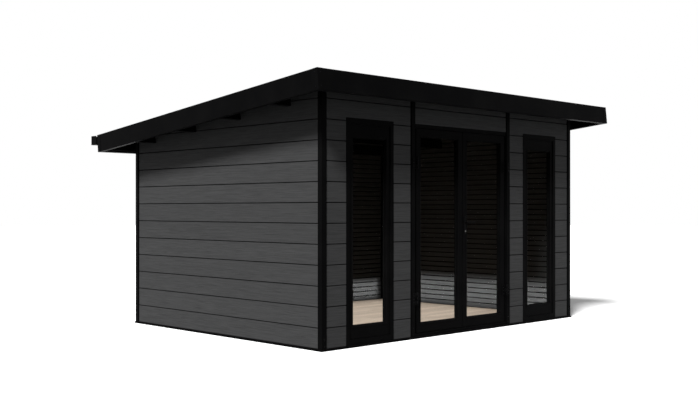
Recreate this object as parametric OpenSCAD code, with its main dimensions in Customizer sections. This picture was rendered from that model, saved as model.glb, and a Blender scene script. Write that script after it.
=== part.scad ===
// Garden shed with a single-pitch roof: horizontal composite planks between
// metal posts, glazed double doors, two tall windows and a gutter at the back.
// Millimetres. +Z is up, the front faces -Y, and the origin is on the ground
// at the middle of the footprint that the posts enclose.

/* [Plan] */
// Width over the outer faces of the corner posts
width = 4030; // [3700:10:4900]
// Depth over the outer faces of the corner posts
depth = 3120; // [2600:10:3800]
// Clear width between the two door posts
door_bay = 1490; // [1230:10:1790]
// Width of each window frame
window_w = 640; // [530:5:780]

/* [Walls] */
// Side of the square corner posts
post = 66; // [55:1:80]
// Width of the posts beside the doors and in the back wall
mid_post = 74; // [62:1:90]
// Width that the raised cover strip of a post leaves free beside the planks
post_flank = 12; // [8:1:16]
// Depth of the planks' outer face behind the posts' cover strips
plank_recess = 8; // [4:1:12]
// Thickness of the wall planks
plank_t = 36; // [28:1:44]
// Height of the base frame
base_h = 18; // [14:1:30]
// Distance that the base frame stands out beyond the posts
base_out = 8; // [4:1:14]
// Height of the door and window heads above the ground
head_z = 2138; // [1900:1:2160]
// Thickness of the floor boards
floor_t = 20; // [16:1:26]

/* [Roof] */
// Height of the roof's front edge above the ground
roof_front_z = 2506; // [2460:1:2700]
// Slope of the roof in degrees
pitch = 5.84; // [3:0.01:6]
// Overhang in front of the posts
eave_front = 283; // [230:1:340]
// Overhang past the posts at each side
eave_side = 317; // [260:1:380]
// Overhang behind the posts
eave_back = 294; // [240:1:350]
// Height of the fascia, square to the slope
fascia_h = 195; // [185:1:235]
// Thickness of the fascia
fascia_t = 24; // [18:1:30]
// Depth of the roof covering below the fascia's top
upstand = 20; // [14:1:26]
// Thickness of the roof covering
cover_t = 3; // [2:0.5:5]
// Thickness of the roof boards
deck_t = 22; // [18:1:27]
// Width of a purlin
purlin_w = 60; // [45:1:75]
// Height of a purlin
purlin_h = 132; // [110:1:138]
// Distance of the first purlin from the roof's front edge, along the slope
purlin_start = 741; // [620:1:760]
// Distance of the last purlin from the roof's back edge, along the slope
purlin_end = 683.3; // [570:0.1:700]

/* [Gutter] */
// Outer width of the gutter
gutter_w = 110; // [92:1:132]
// Outer height of the gutter's back wall
gutter_h = 102; // [85:1:122]
// Gap between the back fascia and the gutter
gutter_gap = 22; // [18:1:30]
// Thickness of the gutter's sheet
gutter_t = 3; // [2:0.5:4]
// Diameter of the gutter's outlet
pipe_d = 76; // [60:1:90]

/* [Windows] */
// Face width of a window frame's sides
frame_w = 45; // [38:1:54]
// Face height of a window frame's top and bottom
frame_rail = 55; // [46:1:66]
// Face width of a window sash's sides
sash_w = 50; // [42:1:60]
// Face height of a window sash's top and bottom
sash_rail = 122; // [100:1:146]
// Thickness of the double glazing
glass_t = 24; // [20:1:28]

/* [Doors] */
// Thickness of a door leaf
leaf_t = 50; // [42:1:56]
// Depth of a leaf's outer face behind the posts' cover strips
leaf_recess = 15; // [12:1:20]
// Face width of a leaf's stiles
stile_w = 72; // [60:1:86]
// Face height of a leaf's top rail
top_rail = 80; // [66:1:96]
// Face height of a leaf's bottom rail
bottom_rail = 95; // [80:1:114]
// Gap between the leaves, and between a leaf and its frame
leaf_gap = 6; // [5:0.5:9]
// Height of the door frame's head
door_head = 38; // [32:1:46]
// Thickness of the door frame's side boards
jamb_t = 12; // [10:1:16]
// Height of the threshold above the base frame
sill_h = 28; // [23:1:34]
// Radius of the hinge knuckles
knuckle_r = 9; // [8:0.5:11]
// Height of a hinge
hinge_h = 120; // [100:1:144]
// Height of the lower hinges' middle
hinge_low_z = 395; // [330:5:470]
// Height of the upper hinges' middle
hinge_high_z = 1750; // [1500:5:1900]
// Height of the lever's spindle
lever_z = 1150; // [960:5:1380]
// Length of the lever
lever_l = 118; // [98:1:140]

/* [Hidden] */
$fn = 48;

hx = width / 2;                  // outer faces of the side posts
hy = depth / 2;                  // outer faces of the front and back posts
plank_in = plank_recess + plank_t;
far = 10 * roof_front_z;         // larger than the whole shed
eps = 0.01;

// Front wall
door_half = door_bay / 2;
side_bay = hx - post - mid_post - door_half;
bay_mid = door_half + mid_post + side_bay / 2;
window_half = window_w / 2;

// Windows, as depths behind the posts' cover strips
frame_out = 4;
frame_in = post;
stop_w = 12;
stop_t = 8;
sash_gap = 2;
sash_out = 14;
sash_in = frame_in - stop_t;
glass_out = 30;

// Doors, as depths behind the posts' cover strips
leaf_in = leaf_recess + leaf_t;
clear = 5;
stop_out = leaf_in + clear;
stop_in = stop_out + stop_w;
jamb_out = leaf_recess + 15;
leaf_z0 = base_h + sill_h + leaf_gap;
leaf_z1 = head_z - door_head - leaf_gap;
leaf_x0 = leaf_gap / 2;
leaf_x1 = door_half - jamb_t - leaf_gap;
bevel = 5;
hinge_x = leaf_x1 + 2 + knuckle_r;
hinge_y = -(clear + knuckle_r);
pin_r = 4;
pin_play = 0.1;
strap_t = 4;
strap_l = 40;
plate_t = 4;
plate_l = 38;
knuckle_gap = 1;
lever_x = leaf_x0 + stile_w / 2 + 3;
lock_z = lever_z - 92;
spindle_r = 5;
neck_r = 9;
lever_t = 10;
lever_h = 19;
lever_off = 42;
handle_w = 34;
handle_h = 190;
handle_drop = 30;
handle_t = 8;
lock_r = 8.5;

// Roof, in its own sloping frame: X as the shed's, Y down the slope from the
// front top edge, Z square to the slope, 0 at the fascia's top
roof_len = (eave_front + depth + eave_back) / cos(pitch);
roof_half = hx + eave_side;
roof_in = roof_half - fascia_t;
cover_top = -upstand;
deck_top = cover_top - cover_t;
deck_under = deck_top - deck_t;
lip_w = 20;
lip_t = 3;
flange_w = 40;
flange_t = 3;
drip = 48;
cap_w = 60;
cap_t = 2;
n_purlins = 4;
purlin_pitch = (roof_len - purlin_start - purlin_end) / (n_purlins - 1);
roof_back_z = roof_front_z - roof_len * sin(pitch);

// Gutter, in the shed's frame
gutter_y0 = hy + eave_back + gutter_gap;
gutter_top = roof_back_z - 6;
gutter_front_h = gutter_h - 28;
bracket_w = 30;
bracket_t = 4;
n_brackets = 5;
pipe_x = hx - 180;
pipe_wall = 2.5;
outlet_l = 70;

// ------------------------------------------------------------- helpers

// A box between two corners
module block(x0, x1, y0, y1, z0, z1)
    translate([x0, y0, z0]) cube([x1 - x0, y1 - y0, z1 - z0]);

// Moves children into the roof's sloping frame
module on_slope()
    translate([0, -hy - eave_front, roof_front_z]) rotate([-pitch, 0, 0]) children();

// Cuts children off along the underside of the roof boards
module under_roof()
    difference() {
        children();
        on_slope() block(-far, far, -far, far, deck_under, far);
    }

// A rectangular ring in the XZ plane, from depth y0 to y1
module ring(x0, x1, z0, z1, side, bottom, top, y0, y1)
    difference() {
        block(x0, x1, y0, y1, z0, z1);
        block(x0 + side, x1 - side, y0 - 1, y1 + 1, z0 + bottom, z1 - top);
    }

// Moves a piece drawn with its outer face at depth 0 onto the front wall
module on_front() translate([0, -hy, 0]) children();

// ------------------------------------------------------------- base and posts

module base_frame() color("#151515")
    difference() {
        block(-hx - base_out, hx + base_out, -hy - base_out, hy + base_out, 0, base_h);
        block(-hx + post, hx - post, -hy + post, hy - post, -1, base_h + 1);
    }

module floor_deck() color("#c9b49c")
    block(-hx + post, hx - post, -hy + post, hy - post, 0, floor_t);

// A corner post for the front left corner: the two flanks beside the planks
// lie back as far as the planks do
module corner_post() color("#121212")
    under_roof() difference() {
        block(-hx, -hx + post, -hy, -hy + post, base_h, roof_front_z);
        block(-hx + post - post_flank, -hx + post + 1, -hy - 1, -hy + plank_recess, 0, far);
        block(-hx - 1, -hx + plank_recess, -hy + post - post_flank, -hy + post + 1, 0, far);
    }

// The same section turned for the back, where the roof is lower
module corner_post_back() color("#121212")
    under_roof() difference() {
        block(-hx, -hx + post, hy - post, hy, base_h, roof_front_z);
        block(-hx + post - post_flank, -hx + post + 1, hy - plank_recess, hy + 1, 0, far);
        block(-hx - 1, -hx + plank_recess, hy - post - 1, hy - post + post_flank, 0, far);
    }

// A post in a wall's run, its cover strip at depth 0
module wall_post() color("#121212") {
    block(-mid_post / 2, mid_post / 2, plank_recess, post, base_h, roof_front_z);
    block(-mid_post / 2 + post_flank, mid_post / 2 - post_flank, 0, plank_recess + eps,
          base_h, roof_front_z);
}

module door_post(side)
    under_roof() on_front()
        translate([side * (door_half + mid_post / 2), 0, 0]) wall_post();

module back_wall_post()
    under_roof() translate([0, hy, 0]) rotate([0, 0, 180]) wall_post();

// ------------------------------------------------------------- walls

// A side wall's planks, cut to the roof's slope and notched for the purlins
module side_wall(side) color("#4a4b4c")
    under_roof() difference() {
        mirror([side > 0 ? 1 : 0, 0, 0])
            block(-hx + plank_recess, -hx + plank_in, -hy + post, hy - post,
                  base_h, roof_front_z);
        for (i = [0 : n_purlins - 1]) purlin_space(i);
    }

module back_wall(side) color("#4a4b4c")
    under_roof() mirror([side > 0 ? 1 : 0, 0, 0])
        block(-hx + post, -mid_post / 2, hy - plank_in, hy - plank_recess,
              base_h, roof_front_z);

// The planks to the left and right of a window
module front_wall(side) color("#4a4b4c")
    on_front() translate([side * bay_mid, 0, 0]) for (s = [-1, 1])
        mirror([s > 0 ? 1 : 0, 0, 0])
            block(-side_bay / 2, -window_half, plank_recess, plank_in, base_h, head_z);

// The planks over a window or over the doors
module front_header(middle, half) color("#4a4b4c")
    under_roof() on_front()
        block(middle - half, middle + half, plank_recess, plank_in, head_z, roof_front_z);

// ------------------------------------------------------------- windows

module at_window(side) on_front() translate([side * bay_mid, 0, 0]) children();

module window_frame(side) color("#101010")
    at_window(side) {
        ring(-window_half, window_half, base_h, head_z,
             frame_w, frame_rail, frame_rail, frame_out, frame_in);
        ring(-window_half + frame_w - eps, window_half - frame_w + eps,
             base_h + frame_rail - eps, head_z - frame_rail + eps,
             stop_w, stop_w, stop_w, sash_in, frame_in);
    }

sash_half = window_half - frame_w - sash_gap;
sash_z0 = base_h + frame_rail + sash_gap;
sash_z1 = head_z - frame_rail - sash_gap;

module window_sash(side) color("#101010")
    at_window(side)
        ring(-sash_half, sash_half, sash_z0, sash_z1,
             sash_w, sash_rail, sash_rail, sash_out, sash_in);

module window_glass(side) color("#6f7a80")
    at_window(side)
        block(-sash_half + sash_w, sash_half - sash_w, glass_out, glass_out + glass_t,
              sash_z0 + sash_rail, sash_z1 - sash_rail);

// ------------------------------------------------------------- doors

// Side boards and head of the door frame, with the stop behind the leaves
module door_frame() color("#101010")
    on_front() {
        for (s = [0, 1]) mirror([s, 0, 0]) {
            block(door_half - jamb_t, door_half, jamb_out, stop_in,
                  base_h + sill_h, head_z - door_head + eps);
            block(leaf_x1 - stop_w, door_half, stop_out, stop_in,
                  base_h + sill_h, head_z - door_head + eps);
        }
        block(-door_half, door_half, plank_recess + 2, stop_in, head_z - door_head, head_z);
        block(-door_half, door_half, stop_out, stop_in, leaf_z1 - stop_w, head_z - eps);
    }

module door_threshold() color("#101010")
    on_front() {
        block(-door_half, door_half, plank_recess + 2, post, base_h, base_h + sill_h);
        block(-door_half, door_half, post - eps, stop_in, floor_t, base_h + sill_h);
    }

// A right-hand leaf; the left one is its mirror image. The meeting edge is
// bevelled so that either leaf can open by itself.
module leaf_frame() color("#111111")
    on_front() difference() {
        translate([0, 0, leaf_z0]) linear_extrude(leaf_z1 - leaf_z0)
            polygon([[leaf_x0, leaf_recess], [leaf_x1, leaf_recess],
                     [leaf_x1, leaf_in], [leaf_x0 + bevel, leaf_in]]);
        block(leaf_x0 + stile_w, leaf_x1 - stile_w, leaf_recess - 1, leaf_in + 1,
              leaf_z0 + bottom_rail, leaf_z1 - top_rail);
    }

module leaf_glass() color("#6f7a80")
    on_front()
        block(leaf_x0 + stile_w, leaf_x1 - stile_w, glass_out, glass_out + glass_t,
              leaf_z0 + bottom_rail, leaf_z1 - top_rail);

module door_leaf_right()
    difference() {
        leaf_frame();
        on_front() translate([lever_x, 0, lever_z]) rotate([-90, 0, 0])
            cylinder(r = spindle_r + pin_play, h = 2 * leaf_in);
        on_front() translate([lever_x, leaf_recess - 1, lock_z]) rotate([-90, 0, 0])
            cylinder(r = lock_r, h = leaf_t + 2);
    }

// Heights of the two hinges of a leaf
hinge_zs = [hinge_low_z, hinge_high_z];
third = hinge_h / 3;

// Hinge parts that stay on the door posts: a plate on the cover strip, the
// two outer knuckles and the pin
module hinge_plate()
    on_front() {
        for (s = [0, 1]) translate([hinge_x, hinge_y, s * 2 * third])
            cylinder(r = knuckle_r, h = third);
        translate([hinge_x, hinge_y, eps]) cylinder(r = pin_r, h = hinge_h - 2 * eps);
        for (s = [0, 1])
            block(hinge_x, door_half + post_flank + plate_t, -plate_t * 2 - 2, -plate_t + eps,
                  s * 2 * third, s * 2 * third + third);
        block(door_half + post_flank, door_half + post_flank + plate_l, -plate_t, 0,
              0, hinge_h);
    }

module hinge_plates() color("#2b2b2b")
    for (s = [0, 1]) mirror([s, 0, 0])
        for (z = hinge_zs) translate([0, 0, z - hinge_h / 2]) hinge_plate();

// Hinge parts that move with the leaf: the middle knuckle and a bent strap
module hinge_strap()
    on_front() difference() {
        union() {
            translate([hinge_x, hinge_y, third + knuckle_gap])
                cylinder(r = knuckle_r, h = third - 2 * knuckle_gap);
            block(hinge_x - knuckle_r, hinge_x - knuckle_r + strap_t, hinge_y, leaf_recess,
                  third + knuckle_gap, 2 * third - knuckle_gap);
            block(leaf_x1 - strap_l, hinge_x - knuckle_r + strap_t,
                  leaf_recess - strap_t, leaf_recess, 0, hinge_h);
        }
        translate([hinge_x, hinge_y, -1]) cylinder(r = pin_r + pin_play, h = hinge_h + 2);
    }

module hinge_straps() color("#1d1d1d")
    for (z = hinge_zs) translate([0, 0, z - hinge_h / 2]) hinge_strap();

// Long plates on both faces of the right leaf
module handle_plates() color("#161616")
    on_front() difference() {
        for (y = [leaf_recess - handle_t, leaf_in])
            block(lever_x - handle_w / 2, lever_x + handle_w / 2, y, y + handle_t,
                  lever_z - handle_drop - handle_h / 2, lever_z - handle_drop + handle_h / 2);
        translate([lever_x, leaf_recess - handle_t - 1, lever_z]) rotate([-90, 0, 0])
            cylinder(r = neck_r + 0.5, h = leaf_t + 2 * handle_t + 2);
        translate([lever_x, leaf_recess - handle_t - 1, lock_z]) rotate([-90, 0, 0])
            cylinder(r = lock_r, h = leaf_t + 2 * handle_t + 2);
    }

module lock_cylinder() color("#b9b9b6")
    on_front() translate([lever_x, leaf_recess - handle_t - 3, lock_z]) rotate([-90, 0, 0])
        cylinder(r = lock_r, h = leaf_t + 2 * handle_t + 6);

// Both levers and the spindle that joins them
module lever_handle() color("#1a1a1a")
    on_front() translate([lever_x, 0, lever_z]) {
        translate([0, leaf_recess - lever_off, 0]) rotate([-90, 0, 0])
            cylinder(r = spindle_r, h = leaf_t + 2 * lever_off);
        for (y = [leaf_recess - lever_off, leaf_in + 1])
            translate([0, y, 0]) rotate([-90, 0, 0])
                cylinder(r = neck_r, h = lever_off - 1);
        for (y = [leaf_recess - lever_off - lever_t / 2, leaf_in + lever_off - lever_t / 2]) {
            for (x = [0, lever_l - lever_h / 2]) translate([x, y, 0]) rotate([-90, 0, 0])
                cylinder(d = lever_h, h = lever_t);
            block(0, lever_l - lever_h / 2, y, y + lever_t, -lever_h / 2, lever_h / 2);
        }
    }

// ------------------------------------------------------------- roof

// Where a purlin lies along the slope
function purlin_y(i) = purlin_start + i * purlin_pitch;

// The space that a purlin takes, for the notches in the side walls
module purlin_space(i)
    on_slope() block(-far, far, purlin_y(i), purlin_y(i) + purlin_w,
                     deck_under - purlin_h, deck_under + 1);

module purlin(i) color("#0f0f0f")
    on_slope() block(-roof_in, roof_in, purlin_y(i), purlin_y(i) + purlin_w,
                     deck_under - purlin_h, deck_under);

module edge_purlins() color("#0f0f0f")
    on_slope() for (y = [fascia_t, roof_len - fascia_t - purlin_w])
        block(-roof_in, roof_in, y, y + purlin_w, deck_under - purlin_h, deck_under);

module roof_deck() color("#0f0f0f")
    on_slope() block(-roof_in, roof_in, fascia_t, roof_len - fascia_t, deck_under, deck_top);

module roof_cover() color("#2a2b2c")
    on_slope() block(-roof_in, roof_in, fascia_t, roof_len + drip, deck_top, cover_top);

// A side fascia runs the whole slope, with a lip below and a flange on top
module fascia_side(side) color("#0d0d0d")
    mirror([side > 0 ? 1 : 0, 0, 0]) on_slope() {
        block(-roof_half, -roof_in, 0, roof_len, -fascia_h, 0);
        block(-roof_in - eps, -roof_in + lip_w, 0, roof_len, -fascia_h, -fascia_h + lip_t);
        block(-roof_in - eps, -roof_in + flange_w, 0, roof_len, -flange_t, 0);
    }

module fascia_front() color("#0d0d0d")
    on_slope() {
        block(-roof_in, roof_in, 0, fascia_t, -fascia_h + lip_t, -flange_t);
        block(-roof_in + lip_w, roof_in - lip_w, 0, fascia_t + lip_w,
              -fascia_h, -fascia_h + lip_t + eps);
        block(-roof_in + flange_w, roof_in - flange_w, 0, fascia_t + flange_w,
              -flange_t - eps, 0);
    }

// The back fascia ends under the roof covering, which drains over it
module fascia_back() color("#0d0d0d")
    on_slope() {
        block(-roof_in, roof_in, roof_len - fascia_t, roof_len, -fascia_h + lip_t, deck_top);
        block(-roof_in + lip_w, roof_in - lip_w, roof_len - fascia_t - lip_w, roof_len,
              -fascia_h, -fascia_h + lip_t + eps);
    }

// Folded caps over the fascia's corners
module fascia_corners() color("#141414")
    on_slope() for (s = [0, 1]) mirror([s, 0, 0]) {
        difference() {
            block(-roof_half - cap_t, -roof_half + cap_w, -cap_t, cap_w, -fascia_h, 0);
            block(-roof_half, roof_half, 0, roof_len, -far, far);
        }
        block(-roof_half - cap_t, -roof_half, roof_len - cap_w, roof_len, -fascia_h, 0);
    }

// ------------------------------------------------------------- gutter

gutter_base = gutter_top - gutter_h;
gutter_y1 = gutter_y0 + gutter_w;

module gutter_floor() color("#161616")
    difference() {
        block(-roof_half, roof_half, gutter_y0, gutter_y1, gutter_base, gutter_base + gutter_t);
        translate([pipe_x, gutter_y0 + gutter_w / 2, gutter_base - 1])
            cylinder(d = pipe_d - 2 * pipe_wall, h = gutter_t + 2);
    }

// The high wall away from the shed, and the lower one that the roof drains over
module gutter_high_wall() color("#161616")
    block(-roof_half, roof_half, gutter_y1 - gutter_t, gutter_y1,
          gutter_base + gutter_t, gutter_top);

module gutter_low_wall() color("#161616")
    block(-roof_half, roof_half, gutter_y0, gutter_y0 + gutter_t,
          gutter_base + gutter_t, gutter_base + gutter_front_h);

module gutter_end(side) color("#161616")
    mirror([side > 0 ? 1 : 0, 0, 0])
        block(-roof_half, -roof_half + gutter_t, gutter_y0 + gutter_t, gutter_y1 - gutter_t,
              gutter_base + gutter_t, gutter_top);

// Flat arms from the back fascia that carry the gutter's floor
module gutter_brackets() color("#161616")
    for (i = [0 : n_brackets - 1])
        translate([(i / (n_brackets - 1) - 0.5) * 2 * (roof_half - 250) - bracket_w / 2, 0, 0])
            difference() {
                block(0, bracket_w, hy + eave_back - 30, gutter_y1,
                      gutter_base - bracket_t, gutter_base);
                translate([-1, 0, 0]) on_slope() block(-far, far, 0, roof_len, -far, far);
            }

// The short outlet under the gutter, where a downpipe would start
module gutter_outlet() color("#161616")
    translate([pipe_x, gutter_y0 + gutter_w / 2, gutter_top - gutter_h - outlet_l])
        difference() {
            cylinder(d = pipe_d, h = outlet_l);
            translate([0, 0, -1]) cylinder(d = pipe_d - 2 * pipe_wall, h = outlet_l + 2);
        }

// ------------------------------------------------------------- nodes

base_frame();
floor_deck();
corner_post();  // corner_post_front_left
mirror([1, 0, 0]) corner_post();  // corner_post_front_right
corner_post_back();  // corner_post_back_left
mirror([1, 0, 0]) corner_post_back();  // corner_post_back_right
door_post(-1);  // door_post_left
door_post(1);  // door_post_right
back_wall_post();
side_wall(-1);  // left_wall
side_wall(1);  // right_wall
back_wall(-1);  // back_wall_left
back_wall(1);  // back_wall_right
front_wall(-1);  // front_wall_left
front_wall(1);  // front_wall_right
front_header(-bay_mid, side_bay / 2);  // front_header_left
front_header(bay_mid, side_bay / 2);  // front_header_right
front_header(0, door_half);  // front_header_door
window_frame(-1);  // window_frame_left
window_sash(-1);  // window_sash_left
window_glass(-1);  // window_glass_left
window_frame(1);  // window_frame_right
window_sash(1);  // window_sash_right
window_glass(1);  // window_glass_right
door_frame();
door_threshold();
hinge_plates();
mirror([1, 0, 0]) leaf_frame();  // door_leaf_left
mirror([1, 0, 0]) leaf_glass();  // door_glass_left
mirror([1, 0, 0]) hinge_straps();  // hinge_straps_left
door_leaf_right();
leaf_glass();  // door_glass_right
hinge_straps();  // hinge_straps_right
handle_plates();
lock_cylinder();
lever_handle();
purlin(0);  // purlin_1
purlin(1);  // purlin_2
purlin(2);  // purlin_3
purlin(3);  // purlin_4
edge_purlins();
roof_deck();
roof_cover();
fascia_front();
fascia_back();
fascia_side(-1);  // fascia_left
fascia_side(1);  // fascia_right
fascia_corners();
gutter_floor();
gutter_high_wall();
gutter_low_wall();
gutter_end(-1);  // gutter_end_left
gutter_end(1);  // gutter_end_right
gutter_brackets();
gutter_outlet();
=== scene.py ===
"""Looks of a garden shed with a single-pitch roof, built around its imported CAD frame.

The walls' plain slabs become rows of embossed composite planks, the floor and
the roof become boards, the glazing becomes pairs of panes with gaskets, and
every metal section gets soft edges and a powder coat.
"""

import logging
import math
from dataclasses import dataclass, field
from enum import Enum
from typing import Optional, Sequence

import bmesh
import bpy
from mathutils import Matrix, Vector


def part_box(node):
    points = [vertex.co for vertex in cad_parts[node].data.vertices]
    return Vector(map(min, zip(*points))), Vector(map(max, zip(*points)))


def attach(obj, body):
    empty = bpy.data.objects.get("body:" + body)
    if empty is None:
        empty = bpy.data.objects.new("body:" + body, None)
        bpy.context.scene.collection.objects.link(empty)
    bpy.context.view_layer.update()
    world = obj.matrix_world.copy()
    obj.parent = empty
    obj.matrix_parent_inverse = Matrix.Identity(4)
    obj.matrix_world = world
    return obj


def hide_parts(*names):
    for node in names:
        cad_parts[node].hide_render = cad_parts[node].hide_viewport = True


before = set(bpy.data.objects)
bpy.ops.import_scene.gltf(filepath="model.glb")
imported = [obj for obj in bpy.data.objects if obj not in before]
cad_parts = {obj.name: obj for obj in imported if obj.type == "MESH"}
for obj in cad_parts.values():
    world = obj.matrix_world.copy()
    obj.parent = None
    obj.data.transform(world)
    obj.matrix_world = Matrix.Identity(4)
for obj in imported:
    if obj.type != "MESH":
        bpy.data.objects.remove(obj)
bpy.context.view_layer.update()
LOG = logging.getLogger("garden_shed")
SHED = "shed"
LEFT_DOOR = "left_door"
RIGHT_DOOR = "right_door"
BOARD_SEED_STEP = 37.0
WELD_DISTANCE = 2e-5
FLAT_ANGLE = math.radians(1.0)
SHARP_ANGLE = math.radians(25.0)

Point = tuple[float, float, float]
Box = tuple[Vector, Vector]


class Side(Enum):
    """The left or the right half of the shed, seen from the front."""

    LEFT = -1
    RIGHT = 1

    @property
    def word(self) -> str:
        """The side's name, as the CAD nodes spell it."""
        return self.name.lower()


class Run(Enum):
    """The direction that planks run in."""

    ALONG_X = "x"
    ALONG_Y = "y"


# ------------------------------------------------------------------ shader groups


class GroupBuilder:
    """A small helper that builds one shader node group with named sockets."""

    def __init__(self, name: str) -> None:
        """Starts an empty group.

        Args:
            name: The group's name.
        """
        self.tree = bpy.data.node_groups.new(name, "ShaderNodeTree")
        self.entry = self.tree.nodes.new("NodeGroupInput")
        self.exit = self.tree.nodes.new("NodeGroupOutput")

    def takes(self, name: str, kind: str, value: object = None) -> None:
        """Adds an input socket.

        Args:
            name: The socket's name.
            kind: Float, Vector or Color.
            value: Its default value.
        """
        socket = self.tree.interface.new_socket(name=name, in_out="INPUT", socket_type=f"NodeSocket{kind}")
        if value is not None:
            socket.default_value = value

    def gives(self, name: str, kind: str, source: bpy.types.NodeSocket) -> None:
        """Adds an output socket and feeds it.

        Args:
            name: The socket's name.
            kind: Float, Vector or Color.
            source: The socket that feeds it.
        """
        self.tree.interface.new_socket(name=name, in_out="OUTPUT", socket_type=f"NodeSocket{kind}")
        self.tree.links.new(source, self.exit.inputs[name])

    def inlet(self, name: str) -> bpy.types.NodeSocket:
        """The group input socket of that name."""
        return self.entry.outputs[name]

    def node(self, kind: str, inputs: Optional[dict] = None, **settings: object) -> bpy.types.Node:
        """Adds a node inside the group; see add_node."""
        return add_node(self.tree, kind, inputs, **settings)


def add_node(
    tree: bpy.types.NodeTree, kind: str, inputs: Optional[dict] = None, **settings: object
) -> bpy.types.Node:
    """Adds a node, sets its properties, and feeds or sets its inputs.

    Args:
        tree: The tree to add to.
        kind: The node's type.
        inputs: Input name or index to a value or to the socket that feeds it.
        **settings: Properties of the node.

    Returns:
        The new node.
    """
    node = tree.nodes.new(kind)
    for key, value in settings.items():
        setattr(node, key, value)
    for key, value in (inputs or {}).items():
        socket = next(
            (s for s in node.inputs if s.name == key and s.enabled), None
        ) if isinstance(key, str) else node.inputs[key]
        if isinstance(value, bpy.types.NodeSocket):
            tree.links.new(value, socket)
        else:
            socket.default_value = value
    return node


def ramp(
    tree: bpy.types.NodeTree, source: bpy.types.NodeSocket, stops: Sequence[tuple[float, float]]
) -> bpy.types.NodeSocket:
    """Maps a value through a grey colour ramp.

    Args:
        tree: The tree to add to.
        source: The value to map.
        stops: Positions and grey levels.

    Returns:
        The ramp's colour output.
    """
    node = add_node(tree, "ShaderNodeValToRGB", {"Fac": source})
    elements = node.color_ramp.elements
    while len(elements) < len(stops):
        elements.new(0.5)
    for element, (place, level) in zip(elements, stops):
        element.position = place
        element.color = (level, level, level, 1.0)
    return node.outputs["Color"]


def grain_group() -> bpy.types.NodeTree:
    """Builds the wood grain that planks, floor and roof boards share.

    Returns:
        A group that puts out a Height from 0 to 1, a slow Shade from 0 to 1 and
        a Pores mask, for a grain stretched along one axis.
    """
    g = GroupBuilder("wood_grain")
    g.takes("Vector", "Vector")
    g.takes("Stretch", "Vector", (1.5, 60.0, 60.0))
    g.takes("Wander", "Float", 0.35)
    g.takes("Seed", "Float", 0.0)
    place = g.node(
        "ShaderNodeVectorMath", {0: g.inlet("Vector"), 1: g.inlet("Stretch")}, operation="MULTIPLY"
    )
    shift = g.node("ShaderNodeCombineXYZ", {"X": g.inlet("Seed"), "Y": g.inlet("Seed"), "Z": g.inlet("Seed")})
    moved = g.node("ShaderNodeVectorMath", {0: place.outputs[0], 1: shift.outputs[0]}, operation="ADD")
    broad = g.node(
        "ShaderNodeTexNoise",
        {
            "Vector": moved.outputs[0], "Scale": 0.32, "Detail": 3.0, "Roughness": 0.55,
            "Distortion": g.inlet("Wander")
        }
    )
    fine = g.node(
        "ShaderNodeTexNoise",
        {
            "Vector": moved.outputs[0], "Scale": 1.6, "Detail": 5.0, "Roughness": 0.65,
            "Distortion": g.inlet("Wander")
        }
    )
    rings = g.node("ShaderNodeMath", {0: broad.outputs["Fac"], 1: 11.0}, operation="MULTIPLY")
    wave = g.node("ShaderNodeMath", {0: rings.outputs[0], 1: 1.0}, operation="PINGPONG")
    both = g.node(
        "ShaderNodeMath", {0: wave.outputs[0], 1: 0.5, 2: fine.outputs["Fac"]}, operation="MULTIPLY_ADD"
    )
    height = g.node("ShaderNodeMapRange", {"Value": both.outputs[0], "From Min": 0.25, "From Max": 1.15})
    pores = ramp(g.tree, fine.outputs["Fac"], ((0.36, 1.0), (0.47, 0.0)))
    g.gives("Height", "Float", height.outputs[0])
    g.gives("Shade", "Float", broad.outputs["Fac"])
    g.gives("Pores", "Float", pores)
    return g.tree


def dust_group() -> bpy.types.NodeTree:
    """Builds the weathering that the outdoor finishes share.

    Returns:
        A group that puts out a Mask of soft patches and of dirt near the ground.
    """
    g = GroupBuilder("weathering")
    g.takes("Vector", "Vector")
    g.takes("Patch Size", "Float", 2.2)
    g.takes("Ground Height", "Float", 0.25)
    patches = g.node(
        "ShaderNodeTexNoise",
        {"Vector": g.inlet("Vector"), "Scale": g.inlet("Patch Size"), "Detail": 6.0, "Roughness": 0.62}
    )
    split = g.node("ShaderNodeSeparateXYZ", {"Vector": g.inlet("Vector")})
    low = g.node(
        "ShaderNodeMath", {0: split.outputs["Z"], 1: g.inlet("Ground Height")}, operation="DIVIDE",
        use_clamp=True
    )
    near = g.node("ShaderNodeMath", {0: 1.0, 1: low.outputs[0]}, operation="SUBTRACT", use_clamp=True)
    cloud = g.node(
        "ShaderNodeMapRange", {"Value": patches.outputs["Fac"], "From Min": 0.42, "From Max": 0.72}
    )
    ground = g.node("ShaderNodeMath", {0: near.outputs[0], 1: patches.outputs["Fac"]}, operation="MULTIPLY")
    total = g.node(
        "ShaderNodeMath", {0: cloud.outputs[0], 1: ground.outputs[0]}, operation="MAXIMUM", use_clamp=True
    )
    g.gives("Mask", "Float", total.outputs[0])
    return g.tree


def orange_peel_group() -> bpy.types.NodeTree:
    """Builds the fine relief that powder coat and rubber share.

    Returns:
        A group that puts out a Height and a slow Shade, both from 0 to 1.
    """
    g = GroupBuilder("orange_peel")
    g.takes("Vector", "Vector")
    g.takes("Grain", "Float", 900.0)
    small = g.node(
        "ShaderNodeTexNoise", {"Vector": g.inlet("Vector"), "Scale": g.inlet("Grain"), "Detail": 2.0}
    )
    slow = g.node("ShaderNodeTexNoise", {"Vector": g.inlet("Vector"), "Scale": 3.0, "Detail": 4.0})
    g.gives("Height", "Float", small.outputs["Fac"])
    g.gives("Shade", "Float", slow.outputs["Fac"])
    return g.tree


class Groups:
    """The shared shader groups, each built once."""

    def __init__(self) -> None:
        """Builds the groups."""
        self.grain = grain_group()
        self.dust = dust_group()
        self.peel = orange_peel_group()


# ------------------------------------------------------------------ finishes


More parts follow.
